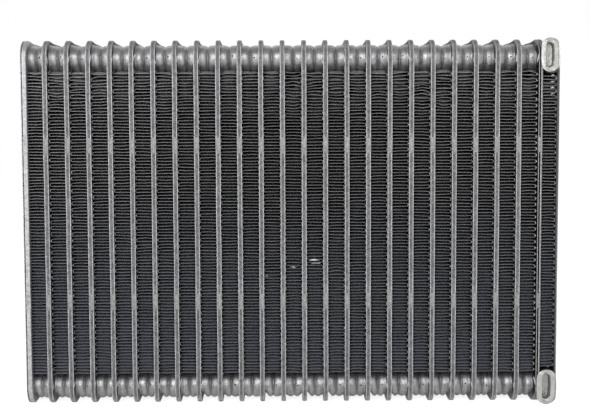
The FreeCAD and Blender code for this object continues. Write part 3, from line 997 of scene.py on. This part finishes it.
def box_sizes(node):
    """A node's box: its corners, its middle, half its width and half its height."""
    low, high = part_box(node)
    return low, high, (low + high) / 2, (high.x - low.x) / 2, (high.z - low.z) / 2


# The cut lips of the pipes: level, side that faces the fins (1 for the upper side), flare, lean of
# the bore and of the lip towards the stack, how much higher the lip stands
LIPS = (
    ("upper", -1, 0.00015, -0.0003, -0.0011, 0.00045),
    ("lower", 1, 0.0006, -0.0004, -0.0012, 0.0),
)


class EVAPORATOR_OT_pipes(bpy.types.Operator):
    """Builds the two flattened header pipes with their round ports"""

    bl_idname = "evaporator.pipes"
    bl_label = "Header pipes"

    def execute(self, context):
        settings = context.scene.evaporator_pipes
        wall, port = settings.wall, settings.port
        # Where the flattened pipe ends and its port begins
        shoulder = REAR + 0.001
        for level, inner, flare, bore_lean, lip_lean, raised in LIPS:
            node = f"{level}_header_pipe"
            low, high, centre, wide, tall = box_sizes(node)
            spread = flare - 0.0005
            # From the front of the recess round the port and back: depth, half width, half height
            sections = [
                (low.y + 0.0012, wide, tall),
                (shoulder - 0.0022, wide, tall),
                (shoulder - 0.0009, wide - 0.0003, tall - 0.0003),
                (shoulder - 0.0002, wide - 0.001, tall - 0.001),
                (shoulder, port + 0.0006, port + 0.0024),
                (shoulder + 0.0004, port + 0.0001, port + 0.0003),
                (shoulder + 0.0012, port, port),
                (high.y - 0.0004, port, port),
                (high.y, port - 0.0003, port - 0.0003),
                (high.y, port - wall + 0.0002, port - wall + 0.0002),
                (high.y - 0.0005, port - wall, port - wall),
                (shoulder - wall, port - wall, port - wall),
                (shoulder - wall - 0.0001, wide - wall, tall - wall),
            ]
            bore = [
                (low.y + 0.0003, wide - wall, tall - wall),
                (low.y, wide - wall + 0.00004, tall - wall + 0.00004),
            ]
            lip = [
                (low.y, wide + spread, tall + spread - 0.0002),
                (low.y + 0.0002, wide + flare, tall + spread),
                (low.y + 0.0008, wide + flare, tall + spread),
            ]
            lifted = centre + Vector((0.0, 0.0, raised))
            loops = [slot_loop(*section, centre) for section in sections]
            loops += [slot_loop(*section, centre, bore_lean) for section in bore]
            loops += [slot_loop(*section, lifted, lip_lean) for section in lip]
            mesh = bmesh.new()
            shade_layer = mesh.verts.layers.float.new("painted_shade")
            rings = skin(mesh, loops, "joined")
            # Painted shade: under the pipe where it faces the fins, and on the lip's right side and the
            # side away from the fins
            for ring in (*rings[:3], rings[-1]):
                for vertex in ring:
                    into = (inner * (vertex.co.z - centre.z) - (tall - wide)) / wide
                    vertex[shade_layer] = max(0.0, min(0.9, 1.6 * into))
            for ring, most in ((rings[-3], 0.25), (rings[-2], 0.85)):
                for vertex in ring:
                    aside = (vertex.co.x - centre.x) / wide
                    outward = aside - inner * (vertex.co.z - centre.z) / tall
                    vertex[shade_layer] = max(0.0, min(most, outward))
            seat(new_piece(f"{level}_pipe", mesh, 35.0), "pipes", node, metal=cut_metal(context))
        return {"FINISHED"}


# The pressed mouths of the caps: level, how much flatter, how much higher
MOUTHS = (("upper", 0.00075, 0.0005), ("lower", 0.0003, 0.00035))
# Painted shade inside each cap, on the wall of its mouth and less on its dish
MOUTH_SHADE = (0.35, 0.5, 0.35, 0.15, 0.1)
# The pricked dimple in the lower cap: radius, how far it stands out of the cap's floor, painted shade
DIMPLE = (
    (0.0013, -0.0001, 0.0), (0.0012, 0.0003, 0.0), (0.00095, 0.0004, 0.0),
    (0.0007, 0.0003, 0.5), (0.0006, 0.0001, 0.9), (0.0003, 0.0, 0.9),
)
DIMPLE_X, DIMPLE_Z = 0.1424, 0.0047


class EVAPORATOR_OT_caps(bpy.types.Operator):
    """Builds the dished caps in the front ends of the header pipes"""

    bl_idname = "evaporator.caps"
    bl_label = "Pipe caps"

    def execute(self, context):
        settings = context.scene.evaporator_pipes
        metal = cut_metal(context)
        for level, flatter, higher in MOUTHS:
            node = f"{level}_header_cap"
            low, high, centre, wide, tall = box_sizes(node)
            floor = low.y + settings.dish
            # From the hidden back to the mouth and into the dish: depth, half width, half height
            outside = [
                (high.y, 0.0006, 0.0045, 0.0),
                (high.y, wide - 0.0012, tall - 0.0012, 0.0),
                (high.y - 0.0008, wide, tall, 0.0),
                (low.y + 0.0003, wide + 0.00008, tall + 0.00014, -0.0002),
                (low.y + 0.0001, wide - 0.00002, tall + 0.00006, -0.0002),
            ]
            wide, tall = wide - settings.cap_wall, tall - settings.cap_wall - flatter
            inside = [
                (low.y + 0.0001, wide + 0.0002, tall + 0.0003),
                (low.y + 0.0003, wide, tall),
                (floor - 0.0006, wide - 0.0001, tall - 0.0001),
                (floor - 0.0001, wide - 0.0004, tall - 0.0005),
                (floor, wide - 0.0008, tall - 0.0012),
                (floor - 0.0001, 0.0003, 0.0042),
            ]
            mouth = centre + Vector((-0.0015, 0.0, higher))
            loops = [slot_loop(y, w, t, centre, lean) for y, w, t, lean in outside]
            loops += [slot_loop(y, w, t, mouth, 0.0, 1.3) for y, w, t in inside]
            cap = shaded_piece(f"{level}_cap", [(loops, MOUTH_SHADE)], 35.0)
            seat(cap, "pipes", node, metal=metal)

        turns = [math.pi * count / 6 for count in range(12)]
        loops = [
            [
                (DIMPLE_X + radius * math.cos(turn), floor - proud, DIMPLE_Z + radius * math.sin(turn))
                for turn in turns
            ]
            for radius, proud, _ in DIMPLE
        ]
        shades = [painted_shade for _, _, painted_shade in DIMPLE]
        seat(shaded_piece("lower_cap_dimple", [(loops, shades)], 60.0), "pipes", metal=metal)
        return {"FINISHED"}


class EVAPORATOR_OT_side_plate(bpy.types.Operator):
    """Gives the CAD side plate its finish, and the tongues that hug the header pipes"""

    bl_idname = "evaporator.side_plate"
    bl_label = "Side plate"

    def execute(self, context):
        colour = shade(context.scene.evaporator_finish.plate, 0.2)
        metal = shared_material("rolled_aluminium", sheet_metal, colour)
        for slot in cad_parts["side_plate"].material_slots:
            slot.material = metal

        low, high, centre, radius, _ = box_sizes("upper_header_pipe")
        height = low.z + radius
        section = [(high.x, SIDE_PLATE_HIGH.z - 0.0002), (high.x, height - 0.0006)]
        for angle in (-8, -18, -28, -38, -47):
            turn = math.radians(angle)
            section.append((centre.x + radius * math.cos(turn), height + radius * math.sin(turn)))
        mesh = bmesh.new()
        for upper in (True, False):
            loops = [
                [(x, y, z if upper else TOP - z) for x, z in section]
                for y in (SIDE_PLATE_LOW.y, SIDE_PLATE_LOW.y + 0.0005, SIDE_PLATE_HIGH.y)
            ]
            skin(mesh, loops)
        seat(new_piece("side_plate_tongues", mesh), "plates", metal=metal)
        return {"FINISHED"}


def shown(tree, place, near, far):
    """One where the white background shows: directly, through glass, or mirrored from behind."""
    rays = add_node(tree, "ShaderNodeLightPath").outputs
    behind = maths(tree, "MULTIPLY", rays["Is Glossy Ray"], along(tree, place, "Y", near, far))
    direct = maths(tree, "MAXIMUM", rays["Is Camera Ray"], rays["Is Transmission Ray"])
    return maths(tree, "MAXIMUM", direct, behind)


def add_light(name, place, target, size, power):
    """A square soft light that faces a point."""
    data = bpy.data.lights.new(name, "AREA")
    data.shape = "SQUARE"
    data.size = size
    data.energy = power
    light = bpy.data.objects.new(name, data)
    light.location = place
    light.rotation_euler = (Vector(target) - Vector(place)).to_track_quat("-Z", "Y").to_euler()
    bpy.context.scene.collection.objects.link(light)


# Soft lights: name, place, size, power
LIGHTS = (
    ("key", (-0.1, -0.9, 0.42), 0.55, 3.2),
    ("left", (-0.9, -0.5, 0.4), 0.6, 3.0),
    ("right", (0.9, -0.5, 0.4), 0.6, 3.0),
)
# The camera: where it stands, its turns in degrees, and its focal length in widths of the photo
CAMERA_PLACE = (-0.0021, -0.62876, 0.15044)
PITCH_DOWN, YAW, ROLL = 3.82, 0.40, -0.218
FOCAL_WIDTHS = 1050 / 589
SENSOR_WIDTH = 36.0


class EVAPORATOR_OT_stage(bpy.types.Operator):
    """Sets the pale floor, the soft lights and the camera"""

    bl_idname = "evaporator.stage"
    bl_label = "Stage"

    def execute(self, context):
        scene = context.scene
        scene.view_settings.view_transform = "Standard"
        self.add_floor(tuple(scene.evaporator_finish.floor))
        self.add_room(scene)
        for name, place, size, power in LIGHTS:
            add_light(name, place, (0, MID_DEPTH, MID_HEIGHT), size, power)
        self.add_camera(scene)
        return {"FINISHED"}

    def add_floor(self, colour):
        """A wide pale floor just under the core."""
        mesh = bmesh.new()
        bmesh.ops.create_grid(mesh, x_segments=1, y_segments=1, size=3.0)
        bmesh.ops.translate(mesh, verts=mesh.verts, vec=(0, 0, -0.0003))
        floor = new_piece("floor", mesh)
        material, tree, shader, place = new_material("floor_paper")
        white = shown(tree, place, 0.5, 1.5)
        looks = {
            "Base Color": noise_ramp(tree, place, 5, shade(colour, 0.99), colour, 2.0),
            "Roughness": 0.9,
            "Emission Color": (1, 1, 1, 1),
            "Emission Strength": carry(tree, white, 0.0, 1.0, 0.15, 0.8),
        }
        feed(tree, shader, looks)
        floor.data.materials.append(material)

    def add_room(self, scene):
        """White behind the core, and a dim room in front of it."""
        world = bpy.data.worlds.new("studio")
        scene.world = world
        world.use_nodes = True
        sky = world.node_tree
        direction = add_node(sky, "ShaderNodeTexCoord").outputs["Generated"]
        strength = carry(sky, shown(sky, direction, 0.1, 0.5), 0.0, 1.0, 0.28, 1.0)
        feed(sky, sky.nodes["Background"], {"Color": (1, 1, 1, 1), "Strength": strength})

    def add_camera(self, scene):
        """The camera of the photo."""
        data = bpy.data.cameras.new("camera")
        data.sensor_width = SENSOR_WIDTH
        data.lens = SENSOR_WIDTH * FOCAL_WIDTHS
        camera = bpy.data.objects.new("camera", data)
        turn = (
            Matrix.Rotation(-math.radians(YAW), 4, "Z")
            @ Matrix.Rotation(math.pi / 2 - math.radians(PITCH_DOWN), 4, "X")
            @ Matrix.Rotation(math.radians(ROLL), 4, "Z")
        )
        camera.matrix_world = Matrix.Translation(CAMERA_PLACE) @ turn
        scene.collection.objects.link(camera)
        scene.camera = camera


STEPS = ("tubes", "cups", "beads", "fins", "bent_fins", "pipes", "caps", "side_plate", "stage")


class EVAPORATOR_PT_pieces(bpy.types.Panel):
    """Lists the pieces of the core"""

    bl_label = "Evaporator core"
    bl_idname = "EVAPORATOR_PT_pieces"
    bl_space_type = "VIEW_3D"
    bl_region_type = "UI"
    bl_category = "Evaporator"

    def draw(self, context):
        for step in STEPS:
            self.layout.operator(f"evaporator.{step}")


SETTINGS = (
    ("evaporator_plates", PlateSettings),
    ("evaporator_cups", CupSettings),
    ("evaporator_fins", FinSettings),
    ("evaporator_pipes", PipeSettings),
    ("evaporator_finish", FinishSettings),
)
CLASSES = (
    *(kind for _, kind in SETTINGS),
    EVAPORATOR_OT_tubes,
    EVAPORATOR_OT_cups,
    EVAPORATOR_OT_beads,
    EVAPORATOR_OT_fins,
    EVAPORATOR_OT_bent_fins,
    EVAPORATOR_OT_pipes,
    EVAPORATOR_OT_caps,
    EVAPORATOR_OT_side_plate,
    EVAPORATOR_OT_stage,
    EVAPORATOR_PT_pieces,
)


def register():
    for kind in CLASSES:
        bpy.utils.register_class(kind)
    for name, kind in SETTINGS:
        setattr(bpy.types.Scene, name, PointerProperty(type=kind))


def unregister():
    for name, _ in SETTINGS:
        delattr(bpy.types.Scene, name)
    for kind in reversed(CLASSES):
        bpy.utils.unregister_class(kind)


def main():
    register()
    for step in STEPS:
        getattr(bpy.ops.evaporator, step)()


if __name__ == "__main__":
    main()
